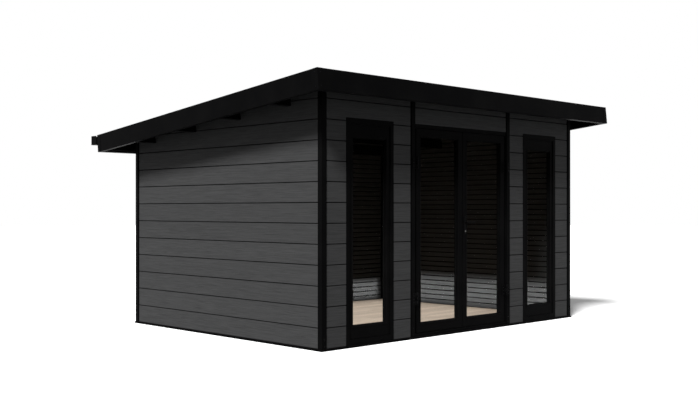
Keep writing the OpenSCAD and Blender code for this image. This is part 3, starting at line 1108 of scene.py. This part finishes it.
@dataclass
class Walls:
    """Rows of interlocking planks with a V joint outside and three bands inside, with painted shade in the
    joints, in the bands' grooves and over the inner face.
    """

    shop: Workshop
    pitch: float = 0.190
    foot: float = 0.018
    joint: float = 0.0062
    joint_depth: float = 0.010
    band_joint: float = 0.0065
    band_floor: float = 0.65
    band_depth: float = 0.009
    # Painted shade over the inner face, as a share of the joint colour.
    inside_shade: float = 0.36
    bands: int = 3
    lip: tuple[float, float] = (0.75, 1.3)
    lip_drop: float = 0.0006
    # Painted shade on the lips where they bend into the V joint.
    lip_shade: float = 0.3
    side_seed: int = 11
    back_seed: int = 21
    front_seed: int = 31
    header_step: int = 7
    door_header_seed: int = 47

    def outline(self, thickness: float, sign: int) -> list[tuple[float, float, float]]:
        """The section of one plank.

        Args:
            thickness: Its thickness.
            sign: 1 where the wall's inside lies in the positive direction.

        Returns:
            Points as (depth from the outer face, height, painted shade).
        """
        p, v, w = self.pitch, self.joint, self.band_joint
        bend, flat = v * self.lip[0], v * self.lip[1]
        # Painted shade: full at the bottom of each V joint and band groove, partial on the lips, inside_shade
        # over the inner face.
        points = [(self.joint_depth, 0.0, 1.0), (self.lip_drop, bend, self.lip_shade), (0.0, flat, 0.0)]
        points += [
            (0.0, p - flat, 0.0), (self.lip_drop, p - bend, self.lip_shade), (self.joint_depth, p, 1.0)
        ]
        inner, groove, dim = thickness, thickness - self.band_depth, self.inside_shade
        points += [(groove, p, 1.0), (groove, p - w * self.band_floor, 1.0), (inner, p - w, dim)]
        for k in range(self.bands - 1, 0, -1):
            z = p * k / self.bands
            points += [
                (inner, z + w, dim), (groove, z + w * self.band_floor, 1.0),
                (groove, z - w * self.band_floor, 1.0), (inner, z - w, dim)
            ]
        points += [(inner, w, dim), (groove, w * self.band_floor, 1.0), (groove, 0.0, 1.0)]
        return [(a * sign, b, shade) for a, b, shade in points]

    def run(
        self, direction: Run, low: Sequence[float], high: Sequence[float], outer: float, sign: int, seed: int
    ) -> bmesh.types.BMesh:
        """Stacks planks in one stretch of wall.

        Args:
            direction: The way they run.
            low: The stretch's lowest corner.
            high: The stretch's highest corner.
            outer: Where the outer face lies, across the wall.
            sign: 1 where the inside lies in the positive direction.
            seed: Seed of the planks' tones.

        Returns:
            The planks, cut to the stretch and to the roof.
        """
        along = 0 if direction is Run.ALONG_X else 1
        across = 1 - along
        length = high[along] - low[along]
        first = max(0, int((low[2] - self.foot) / self.pitch + 1e-6))
        count = math.ceil((high[2] - self.foot) / self.pitch - 1e-6) - first
        place = [0.0, 0.0, self.foot + first * self.pitch]
        place[along] = (low[along] + high[along]) / 2
        place[across] = outer
        board = Patterns.profile_board(
            "plank_part", self.outline(high[across] - low[across], sign), length, direction
        )
        finish = self.shop.palette.plank_x if direction is Run.ALONG_X else self.shop.palette.plank_y
        bm = self.shop.planks.lay(board, count, place, (0.0, 0.0, self.pitch), finish, seed)
        bpy.data.objects.remove(board)
        trim(bm, (0, 0, low[2]), (0, 0, -1))
        trim(bm, (0, 0, high[2]), (0, 0, 1))
        trim(bm, self.shop.slope.at(0, 0, self.shop.slope.deck_under), self.shop.slope.up)
        return bm

    def sides(self) -> None:
        """Builds the left and right walls."""
        for side in Side:
            low, high = bounds_of(f"{side.word}_wall")
            outer = low.x if side is Side.LEFT else high.x
            bm = self.run(Run.ALONG_Y, low, high, outer, -side.value, self.side_seed + side.value)
            settle(
                new_piece(f"{side.word}_planks", bm, self.shop.palette.plank_y), SHED, "cladding",
                f"{side.word}_wall"
            )

    def back(self) -> None:
        """Builds both halves of the back wall."""
        for side in Side:
            low, high = bounds_of(f"back_wall_{side.word}")
            bm = self.run(Run.ALONG_X, low, high, high.y, -1, self.back_seed + side.value)
            settle(
                new_piece(f"back_planks_{side.word}", bm, self.shop.palette.plank_x), SHED, "cladding",
                f"back_wall_{side.word}"
            )

    def front(self) -> None:
        """Builds the planks beside and over the windows and over the doors."""
        finish = self.shop.palette.plank_x
        for side in Side:
            low, high = bounds_of(f"front_wall_{side.word}")
            gap_low, gap_high = bounds_of(f"window_frame_{side.word}")
            head_low, head_high = bounds_of(f"front_header_{side.word}")
            seed = self.front_seed + side.value
            parts = [
                self.run(Run.ALONG_X, low, (gap_low.x, high.y, high.z), low.y, 1, seed),
                self.run(Run.ALONG_X, (gap_high.x, low.y, low.z), high, low.y, 1, seed),
                self.run(Run.ALONG_X, head_low, head_high, low.y, 1, seed + self.header_step),
            ]
            settle(
                new_piece(f"front_planks_{side.word}", merged(parts), finish), SHED, "cladding",
                f"front_wall_{side.word}", f"front_header_{side.word}"
            )
        low, high = bounds_of("front_header_door")
        settle(
            new_piece(
                "door_header_planks", self.run(Run.ALONG_X, low, high, low.y, 1, self.door_header_seed),
                finish
            ),
            SHED, "cladding", "front_header_door"
        )

    def build(self) -> None:
        """Builds every wall."""
        self.sides()
        self.back()
        self.front()


@dataclass
class Skeleton:
    """Base frame and posts."""

    shop: Workshop
    posts: tuple[str, ...] = (
        "corner_post_front_left", "corner_post_front_right", "corner_post_back_left",
        "corner_post_back_right", "door_post_left", "door_post_right", "back_wall_post"
    )
    foot_screw_height: float = 0.045
    foot_screw_step: float = 0.06
    edge: float = 0.002

    def build(self) -> None:
        """Coats the base frame and the posts, and screws the posts down."""
        for node in ("base_frame", *self.posts):
            self.shop.coat(SHED, node, self.shop.palette.coat, "black_aluminium", self.edge)
        heights = (self.foot_screw_height, self.foot_screw_height + self.foot_screw_step)
        front = [
            ((low.x + high.x) / 2, low.y, z) for low,
            high in map(bounds_of, self.posts[:2] + self.posts[4:6]) for z in heights
        ]
        self.shop.screws("post_screws_front", SHED, front, (0, -1, 0))
        back = [
            ((low.x + high.x) / 2, high.y, z) for low,
            high in map(bounds_of, self.posts[2:4] + self.posts[6:]) for z in heights
        ]
        self.shop.screws("post_screws_back", SHED, back, (0, 1, 0))


@dataclass
class Floor:
    """Tongued floor boards, their end joints staggered from row to row."""

    shop: Workshop
    rows: int = 24
    groove: float = 0.0018
    even_joints: tuple[float, ...] = (-0.62, 0.78)
    odd_joints: tuple[float, ...] = (-1.31, 0.12, 1.44)
    end_gap: float = 0.0006
    seed: int = 60

    def build(self) -> None:
        """Lays the floor."""
        low, high = bounds_of("floor_deck")
        width = (high.y - low.y) / self.rows
        thick = high.z - low.z
        g = self.groove
        outline = [
            (0.0, 0.0), (width, 0.0), (width, thick - g, 1.0), (width - g, thick), (g, thick),
            (0.0, thick - g, 1.0)
        ]
        parts = []
        for start, joints in ((0, self.even_joints), (1, self.odd_joints)):
            stops = (low.x, *joints, high.x)
            for index, (x0, x1) in enumerate(zip(stops, stops[1:])):
                board = Patterns.profile_board("floor_part", outline, x1 - x0 - self.end_gap, Run.ALONG_X)
                first = ((x0 + x1) / 2, low.y + start * width, low.z)
                parts.append(
                    self.shop.planks.lay(
                        board, self.rows // 2, first, (0.0, 2 * width, 0.0), self.shop.palette.floor,
                        self.seed + 10 * start + index
                    )
                )
                bpy.data.objects.remove(board)
        settle(
            new_piece("floor_boards", merged(parts), self.shop.palette.floor), SHED, "floor_wood",
            "floor_deck"
        )


# ------------------------------------------------------------------ roof


@dataclass
class Roof:
    """Boards, membrane, purlins, fascias and gutter."""

    shop: Workshop
    boards: int = 38
    board_groove: float = 0.006
    sheets: int = 4
    lap: float = 0.08
    lap_rise: float = 0.002
    half: float = 2.308
    deck: tuple[float, float] = (0.024, 3.6923)
    cover_end: float = 3.7643
    levels: tuple[float, float, float] = (-0.045, -0.023, -0.020)
    fascia_reach: float = 0.024
    lap_slope: float = 0.003
    lap_toe: float = 0.02
    purlin_edge: float = 0.003
    fascia_edge: float = 0.0014
    cap_edge: float = 0.0006
    gutter_edge: float = 0.0008
    board_seed: int = 81
    sheet_seed: int = 91
    cap_proud: float = 0.002
    cap_inset: float = 0.030
    cap_heights: tuple[float, float] = (-0.035, -0.160)

    def soffit(self) -> None:
        """Lays the roof boards, grooved on their underside."""
        low, top, _ = self.levels
        width = 2 * self.half / self.boards
        g = self.board_groove
        outline = [
            (0.0, g, 1.0), (g * 0.6, 0.0), (width - g * 0.6, 0.0), (width, g, 1.0), (width, top - low),
            (0.0, top - low)
        ]
        board = Patterns.profile_board("roof_part", outline, self.deck[1] - self.deck[0], Run.ALONG_Y)
        bm = self.shop.planks.lay(
            board, self.boards, (-self.half, sum(self.deck) / 2, low), (width, 0.0, 0.0),
            self.shop.palette.soffit, self.board_seed
        )
        bpy.data.objects.remove(board)
        bmesh.ops.transform(bm, matrix=self.shop.slope.matrix(), verts=bm.verts)
        settle(new_piece("roof_boards", bm, self.shop.palette.soffit), SHED, "roof_board", "roof_deck")

    def membrane(self) -> None:
        """Lays the membrane in sheets, each lapping the next."""
        _, low, top = self.levels
        width = 2 * self.half / self.sheets
        thick = top - low
        outline = [
            (0.0, 0.0), (width, 0.0), (width, thick), (width - self.lap, thick),
            (width - self.lap - self.lap_slope, thick + self.lap_rise),
            (self.lap * self.lap_toe, thick + self.lap_rise), (0.0, thick)
        ]
        board = Patterns.profile_board("sheet_part", outline, self.cover_end - self.deck[0], Run.ALONG_Y)
        bm = self.shop.planks.lay(
            board, self.sheets, (-self.half, (self.cover_end + self.deck[0]) / 2, low), (width, 0.0, 0.0),
            self.shop.palette.membrane, self.sheet_seed
        )
        bpy.data.objects.remove(board)
        bmesh.ops.transform(bm, matrix=self.shop.slope.matrix(), verts=bm.verts)
        settle(new_piece("roof_sheets", bm, self.shop.palette.membrane), SHED, "black_rubber", "roof_cover")

    def metal(self) -> None:
        """Coats purlins, fascias and gutter."""
        for node in ("purlin_1", "purlin_2", "purlin_3", "purlin_4", "edge_purlins"):
            self.shop.coat(SHED, node, self.shop.palette.steel, "black_steel", self.purlin_edge)
        for node in ("fascia_front", "fascia_back", "fascia_left", "fascia_right"):
            self.shop.coat(SHED, node, self.shop.palette.coat, "black_aluminium", self.fascia_edge)
        self.shop.coat(SHED, "fascia_corners", self.shop.palette.coat, "black_aluminium", self.cap_edge, 1)
        for node in (
            "gutter_floor", "gutter_high_wall", "gutter_low_wall", "gutter_end_left", "gutter_end_right",
            "gutter_brackets", "gutter_outlet"
        ):
            self.shop.coat(SHED, node, self.shop.palette.coat, "black_aluminium", self.gutter_edge, 1)

    def fixings(self) -> None:
        """Screws the corner caps and the brackets."""
        slope = self.shop.slope
        reach, cap = self.half + self.fascia_reach, self.cap_inset
        front = [
            tuple(slope.at(s * (reach - cap), -self.cap_proud, z)) for s in (-1, 1) for z in self.cap_heights
        ]
        self.shop.screws("cap_screws_front", SHED, front, tuple(-slope.along))
        for side in Side:
            edge, ends = side.value * (reach + self.cap_proud), (cap, self.deck[1] + self.fascia_reach - cap)
            points = [tuple(slope.at(edge, y, z)) for y in ends for z in self.cap_heights]
            self.shop.screws(f"cap_screws_{side.word}", SHED, points, (side.value, 0, 0))

    def build(self) -> None:
        """Builds the roof."""
        self.soffit()
        self.membrane()
        self.metal()
        self.fixings()


# ------------------------------------------------------------------ glazing, windows and doors


@dataclass
class Glazing:
    """A double pane with its spacer and its gaskets."""

    shop: Workshop
    pane: float = 0.004
    edge: float = 0.0005
    spacer: float = 0.007
    bead: float = 0.006
    bead_proud: float = 0.0035
    lip_gap: float = 0.004
    lip: float = 0.011
    lip_proud: float = 0.0025
    lip_sink: float = 0.0005
    chamfer: float = 0.0012

    def lips(self, node: str, holder: str, body: str) -> None:
        """Frames the glass with a raised lip on both faces of what holds it.

        Args:
            node: The CAD node of the glass.
            holder: The CAD node that holds it.
            body: The CAD body.
        """
        low, high = bounds_of(node)
        near, far = bounds_of(holder)
        reach = self.lip_gap + self.lip
        rings = bmesh.new()
        for face, back in (
            (near.y - self.lip_proud, near.y + self.lip_sink), (far.y - self.lip_sink, far.y + self.lip_proud)
        ):
            add_ring(
                rings, (low.x - reach, face, low.z - reach), (high.x + reach, back, high.z + reach), self.lip,
                self.chamfer
            )
        settle(new_piece(f"{node}_lips", rings, self.shop.palette.steel), body, "black_steel")

    def fit(self, node: str, body: str) -> None:
        """Glazes one opening.

        Args:
            node: The CAD node of the glass.
            body: The CAD body.
        """
        low, high = bounds_of(node)
        panes = bmesh.new()
        add_box(panes, low, (high.x, low.y + self.pane, high.z), self.edge)
        add_box(panes, (low.x, high.y - self.pane, low.z), high, self.edge)
        settle(new_piece(f"{node}_panes", panes, self.shop.palette.glass), body, "glazing", node)
        rim = bmesh.new()
        add_ring(rim, (low.x, low.y + self.pane, low.z), (high.x, high.y - self.pane, high.z), self.spacer)
        settle(new_piece(f"{node}_spacer", rim, self.shop.palette.spacer), body, "black_aluminium")
        beads, inner = bmesh.new(), bmesh.new()
        for ring in (beads, inner):
            add_ring(
                ring, (low.x, low.y - self.bead_proud, low.z), (high.x, low.y, high.z), self.bead,
                self.chamfer
            )
        mirror_y(inner, low.y + high.y)
        settle(
            new_piece(f"{node}_gaskets", merged([beads, inner]), self.shop.palette.gasket), body,
            "black_rubber"
        )


@dataclass
class Windows:
    """Two tall windows, each a frame, a sash and its glazing."""

    shop: Workshop
    glazing: Glazing
    drain_width: float = 0.032
    drain_height: float = 0.009
    drain_proud: float = 0.005
    drain_rise: float = 0.024
    drain_sink: float = 0.001
    drain_edge: float = 0.0015
    edge: float = 0.002
    drain_places: tuple[float, float] = (0.27, 0.73)

    def build(self) -> None:
        """Builds both windows."""
        for side in Side:
            frame, sash = f"window_frame_{side.word}", f"window_sash_{side.word}"
            for node in (frame, sash):
                self.shop.coat(SHED, node, self.shop.palette.coat, "black_aluminium", self.edge)
            self.glazing.fit(f"window_glass_{side.word}", SHED)
            self.glazing.lips(f"window_glass_{side.word}", sash, SHED)
            low, high = bounds_of(frame)
            caps = bmesh.new()
            for share in self.drain_places:
                x, z = low.x + (high.x - low.x) * share, low.z + self.drain_rise
                half, face = self.drain_width / 2, low.y + self.drain_sink
                add_box(
                    caps, (x - half, low.y - self.drain_proud + self.drain_sink, z),
                    (x + half, face, z + self.drain_height), self.drain_edge
                )
            settle(
                new_piece(f"drain_caps_{side.word}", caps, self.shop.palette.coat), SHED, "black_aluminium"
            )


@dataclass
class Doors:
    """Door frame, threshold, two glazed leaves, hinges and lever set."""

    shop: Workshop
    glazing: Glazing
    ribs: int = 6
    hinge_screw_step: float = 0.034
    strap_reach: float = 0.020
    strap_thick: float = 0.004
    hinge_half: float = 0.06
    plate_face: float = -1.564
    plate_inset: float = 0.014
    seal_inset: float = 0.002
    seal_sink: float = 0.0005
    seal_proud: float = 0.003
    seal_width: float = 0.007
    seal_edge: float = 0.0012
    frame_edge: float = 0.0015
    threshold_edge: float = 0.002
    leaf_edge: float = 0.0025
    hinge_edge: float = 0.0012
    plate_edge: float = 0.002
    lever_edge: float = 0.0028
    lock_edge: float = 0.0008
    rib_foot: float = 0.002
    rib_top: float = 0.0008
    rib_height: float = 0.0014
    rib_margin: float = 0.06
    rib_sink: float = 0.0002
    rib_seed: int = 5
    slot_half: tuple[float, float] = (0.0008, 0.0045)
    slot_proud: float = 0.0004
    slot_sink: float = 0.001
    slot_edge: float = 0.0003
    handle_screw_inset: float = 0.012
    handle_screw: tuple[float, float] = (0.0035, 0.0012)

    def frame(self) -> None:
        """Coats the frame and lays grip ribs on the threshold."""
        self.shop.coat(SHED, "door_frame", self.shop.palette.coat, "black_aluminium", self.frame_edge)
        self.shop.coat(SHED, "door_threshold", self.shop.palette.coat, "black_aluminium", self.threshold_edge)
        low, high = bounds_of("door_threshold")
        step = (high.y - low.y) / (self.ribs + 1)
        foot, top, height = self.rib_foot, self.rib_top, self.rib_height
        outline = [(-foot, 0.0), (foot, 0.0), (top, height), (-top, height)]
        rib = Patterns.profile_board("rib_part", outline, high.x - low.x - self.rib_margin, Run.ALONG_X)
        first = (0.0, low.y + step, high.z - self.rib_sink)
        bm = self.shop.planks.lay(
            rib, self.ribs, first, (0.0, step, 0.0), self.shop.palette.coat, self.rib_seed
        )
        bpy.data.objects.remove(rib)
        settle(new_piece("threshold_ribs", bm, self.shop.palette.coat), SHED, "black_aluminium")

    def leaves(self) -> None:
        """Coats and glazes both leaves."""
        for side, body in ((Side.LEFT, LEFT_DOOR), (Side.RIGHT, RIGHT_DOOR)):
            self.shop.coat(
                body, f"door_leaf_{side.word}", self.shop.palette.coat, "black_aluminium", self.leaf_edge
            )
            self.glazing.fit(f"door_glass_{side.word}", body)
            self.glazing.lips(f"door_glass_{side.word}", f"door_leaf_{side.word}", body)
            low, high = bounds_of(f"door_leaf_{side.word}")
            seal = bmesh.new()
            inset, near, far = self.seal_inset, high.y - self.seal_sink, high.y + self.seal_proud
            corners = (low.x + inset, near, low.z + inset), (high.x - inset, far, high.z - inset)
            add_ring(seal, *corners, self.seal_width, self.seal_edge)
            mirror_y(seal, 2 * high.y + self.seal_proud - self.seal_sink)
            settle(new_piece(f"door_seal_{side.word}", seal, self.shop.palette.gasket), body, "black_rubber")

    def hinges(self) -> None:
        """Coats the hinges and screws both of their sides on."""
        self.shop.coat(SHED, "hinge_plates", self.shop.palette.steel, "black_steel", self.hinge_edge)
        plate_low, plate_high = bounds_of("hinge_plates")
        leaf_low, _ = bounds_of("door_leaf_right")
        for side, body in ((Side.LEFT, LEFT_DOOR), (Side.RIGHT, RIGHT_DOOR)):
            node = f"hinge_straps_{side.word}"
            self.shop.coat(body, node, self.shop.palette.steel, "black_steel", self.hinge_edge)
            low, high = bounds_of(node)
            edge = low.x if side is Side.RIGHT else high.x
            x = edge + side.value * self.strap_reach
            middles = (low.z + self.hinge_half, high.z - self.hinge_half)
            heights = [z + k * self.hinge_screw_step for z in middles for k in (-1, 0, 1)]
            face = leaf_low.y - self.strap_thick
            self.shop.screws(f"strap_screws_{side.word}", body, [(x, face, z) for z in heights], (0, -1, 0))
        xs = [side.value * (plate_high.x - self.plate_inset) for side in Side]
        middles = (plate_low.z + self.hinge_half, plate_high.z - self.hinge_half)
        points = [
            (
                x, self.plate_face, z + k * self.hinge_screw_step
            ) for x in xs for z in middles for k in (-1, 0, 1)
        ]
        self.shop.screws("plate_screws", SHED, points, (0, -1, 0))

    def lever_set(self) -> None:
        """Finishes the handle plates, the lever and the lock cylinder."""
        self.shop.coat(
            RIGHT_DOOR, "handle_plates", self.shop.palette.steel, "black_steel", self.plate_edge, 3
        )
        self.shop.coat(RIGHT_DOOR, "lever_handle", self.shop.palette.steel, "black_steel", self.lever_edge, 3)
        self.shop.coat(RIGHT_DOOR, "lock_cylinder", self.shop.palette.lock, "lock_steel", self.lock_edge)
        low, high = bounds_of("lock_cylinder")
        x, z = (low.x + high.x) / 2, (low.z + high.z) / 2
        slot = bmesh.new()
        half, tall = self.slot_half
        for near, far in (
            (low.y - self.slot_proud, low.y + self.slot_sink),
            (high.y - self.slot_sink, high.y + self.slot_proud)
        ):
            add_box(slot, (x - half, near, z - tall), (x + half, far, z + tall), self.slot_edge)
        settle(new_piece("key_slots", slot, self.shop.palette.gasket), RIGHT_DOOR, "black_rubber")
        plate_low, plate_high = bounds_of("handle_plates")
        points = [
            ((plate_low.x + plate_high.x) / 2, plate_low.y, h) for h in (
                plate_low.z + self.handle_screw_inset, plate_high.z - self.handle_screw_inset
            )
        ]
        self.shop.screws("handle_screws", RIGHT_DOOR, points, (0, -1, 0), *self.handle_screw)

    def build(self) -> None:
        """Builds the doors."""
        self.frame()
        self.leaves()
        self.hinges()
        self.lever_set()


# ------------------------------------------------------------------ studio


@dataclass
class Studio:
    """Floor, soft lamps, world and camera."""

    eye: Point = (-7.8745, -7.9265, 1.285)
    yaw: float = 44.24
    lens: float = 49.5
    floor_size: float = 120.0
    floor_tone: float = 0.12
    floor_seen: float = 1.35
    ambient: float = 0.25
    key_strength: float = 4.2
    key_angle: float = 14.0
    key_direction: Point = (0.80, 0.34, -0.92)
    panel_height: float = 0.34
    panel_power: float = 38.0
    panel_cover: tuple[float, float] = (0.98, 0.96)
    skirt_spread: float = 3.0
    skirt_power: float = 9.0
    skirt_cover: tuple[float, float] = (0.96, 0.90)
    skirt_offset: tuple[float, float] = (0.18, 0.12)
    skirt_middle: tuple[float, float] = (0.17, 0.22)
    skirt_height: tuple[float, float] = (0.22, 0.32)

    def camera(self) -> None:
        """Sets the camera up."""
        data = bpy.data.cameras.new("view")
        data.lens = self.lens
        data.sensor_width = 36.0
        data.clip_end = 500.0
        eye = bpy.data.objects.new("view", data)
        eye.location = self.eye
        eye.rotation_euler = (math.radians(90), 0.0, math.radians(-self.yaw))
        bpy.context.scene.collection.objects.link(eye)
        bpy.context.scene.camera = eye

    @staticmethod
    def seen(tree: bpy.types.NodeTree) -> bpy.types.NodeSocket:
        """Tells the rays that look at the background from those that carry light.

        Args:
            tree: The tree to add to.

        Returns:
            A socket that is 1 for camera, glossy and transmission rays.
        """
        path = add_node(tree, "ShaderNodeLightPath")
        mirrored = add_node(
            tree, "ShaderNodeMath",
            {0: path.outputs["Is Glossy Ray"], 1: path.outputs["Is Transmission Ray"]}, operation="MAXIMUM"
        )
        seen = add_node(
            tree, "ShaderNodeMath", {0: path.outputs["Is Camera Ray"], 1: mirrored.outputs[0]},
            operation="MAXIMUM"
        )
        return seen.outputs[0]

    def background(self) -> None:
        """Makes the world white where it is seen and soft where it only lights."""
        world = bpy.data.worlds.new("studio")
        bpy.context.scene.world = world
        world.use_nodes = True
        tree = world.node_tree
        back = tree.nodes["Background"]
        level = add_node(
            tree, "ShaderNodeMix", {0: self.seen(tree), 2: self.ambient, 3: 1.0}, data_type="FLOAT"
        )
        back.inputs["Color"].default_value = (1, 1, 1, 1)
        tree.links.new(level.outputs[0], back.inputs["Strength"])

    def ground(self) -> None:
        """Lays the plain pale floor."""
        bm = bmesh.new()
        h = self.floor_size / 2
        bm.faces.new([bm.verts.new(p) for p in ((-h, -h, 0), (h, -h, 0), (h, h, 0), (-h, h, 0))])
        mat = bpy.data.materials.new("studio_floor")
        mat.use_nodes = True
        tree = mat.node_tree
        shader = tree.nodes["Principled BSDF"]
        colour = blend_colours(
            tree, self.seen(tree), (*[self.floor_tone] * 3, 1), (*[self.floor_seen] * 3, 1)
        )
        tree.links.new(colour, shader.inputs["Base Color"])
        shader.inputs["Roughness"].default_value = 1.0
        shader.inputs["Specular IOR Level"].default_value = 0.0
        piece = new_piece("studio_floor", bm, mat)

    def lamps(self) -> None:
        """Hangs the key lamp and the flat lamps inside the cabin."""
        sun = bpy.data.lights.new("key", "SUN")
        sun.energy = self.key_strength
        sun.angle = math.radians(self.key_angle)
        key = bpy.data.objects.new("key", sun)
        key.rotation_euler = Vector(self.key_direction).to_track_quat("-Z", "Y").to_euler()
        bpy.context.scene.collection.objects.link(key)
        low, high = bounds_of("floor_deck")
        width, depth = high.x - low.x, high.y - low.y
        self.panel(
            "floor_panel", (0.0, 0.0, self.panel_height), (0, 0, -1),
            (width * self.panel_cover[0], depth * self.panel_cover[1]), self.panel_power
        )
        back = (0.0, low.y + self.skirt_offset[0], self.skirt_middle[0])
        self.panel(
            "back_skirt", back, (0, 1, 0), (width * self.skirt_cover[0], self.skirt_height[0]),
            self.skirt_power, self.skirt_spread
        )
        flank = (low.x + self.skirt_offset[1], 0.0, self.skirt_middle[1])
        self.panel(
            "side_skirt", flank, (1, 0, 0), (depth * self.skirt_cover[1], self.skirt_height[1]),
            self.skirt_power, self.skirt_spread
        )

    @staticmethod
    def panel(
        name: str, place: Point, direction: Point, size: tuple[float, float], power: float,
        spread: float = 180.0
    ) -> None:
        """Hangs a flat lamp inside the cabin that only its light gives away.

        Args:
            name: The lamp's name.
            place: Its centre.
            direction: The way it shines.
            size: Its width and height.
            power: Its power.
            spread: How widely it shines, in degrees.
        """
        data = bpy.data.lights.new(name, "AREA")
        data.shape = "RECTANGLE"
        data.size, data.size_y = size
        data.energy = power
        data.spread = math.radians(spread)
        lamp = bpy.data.objects.new(name, data)
        lamp.location = place
        lamp.rotation_euler = Vector(direction).to_track_quat("-Z", "Y").to_euler()
        lamp.visible_camera = lamp.visible_glossy = lamp.visible_transmission = False
        bpy.context.scene.collection.objects.link(lamp)

    def build(self) -> None:
        """Builds the studio."""
        self.camera()
        self.background()
        self.ground()
        self.lamps()
        bpy.context.scene.view_settings.view_transform = "Standard"


def main() -> None:
    """Builds the studio, then the shed from the ground up."""
    logging.basicConfig(level=logging.INFO, format="%(message)s")
    Studio().build()
    shop = Workshop(Palette(), PlankTree(), FixingTree())
    glazing = Glazing(shop)
    Skeleton(shop).build()
    Floor(shop).build()
    Walls(shop).build()
    Windows(shop, glazing).build()
    Doors(shop, glazing).build()
    Roof(shop).build()


if __name__ == "__main__":
    main()
